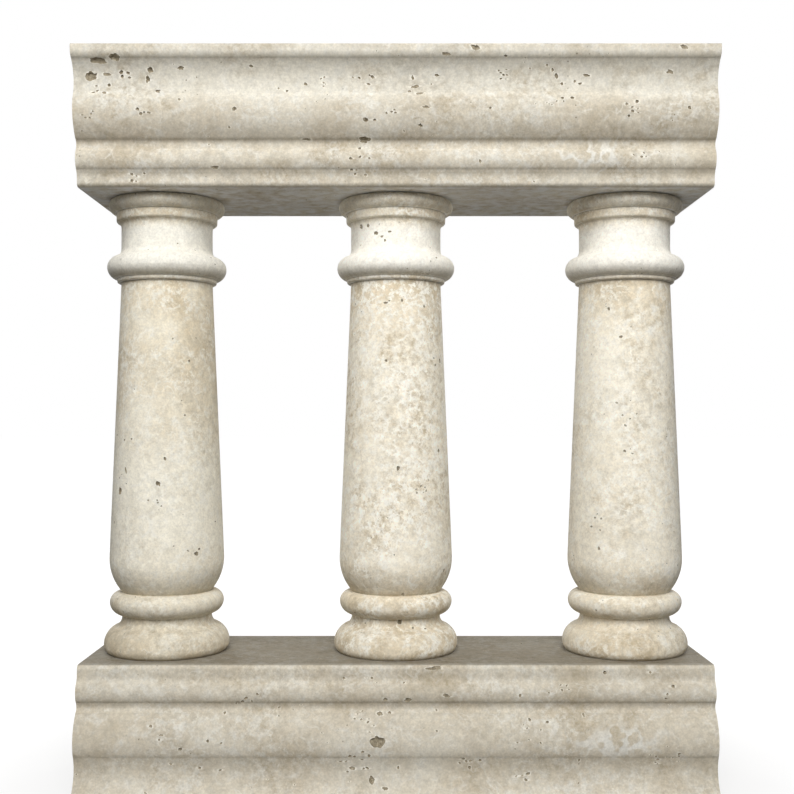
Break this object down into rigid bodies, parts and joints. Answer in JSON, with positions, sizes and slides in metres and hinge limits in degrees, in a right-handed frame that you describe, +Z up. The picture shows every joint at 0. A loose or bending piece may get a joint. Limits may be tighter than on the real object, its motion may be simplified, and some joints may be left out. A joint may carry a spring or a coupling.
{
  "type": "stone balustrade section",
  "caption": "Travertine balustrade section: moulded top rail and mirrored base rail joined by turned tapering balusters, used as a guard along a terrace, stair landing or bridge.",
  "frame": {"origin": "centre of the base rail's underside, on the ground", "axes": "+X along the rails, +Y through the balustrade towards its back, +Z up"},
  "size_m": [0.8, 0.2606, 0.94],
  "materials": {
    "travertine": "honed, unfilled pits",
    "stainless_steel": "drawn bar"
  },
  "bodies": {
    "root": {"base_rail": "travertine", "top_rail": "travertine", "baluster_left": "travertine", "baluster_middle": "travertine", "baluster_right": "travertine", "foot_dowel_left": "stainless_steel", "foot_dowel_middle": "stainless_steel", "foot_dowel_right": "stainless_steel", "head_dowel_left": "stainless_steel", "head_dowel_middle": "stainless_steel", "head_dowel_right": "stainless_steel"}
  },
  "joints": []
}
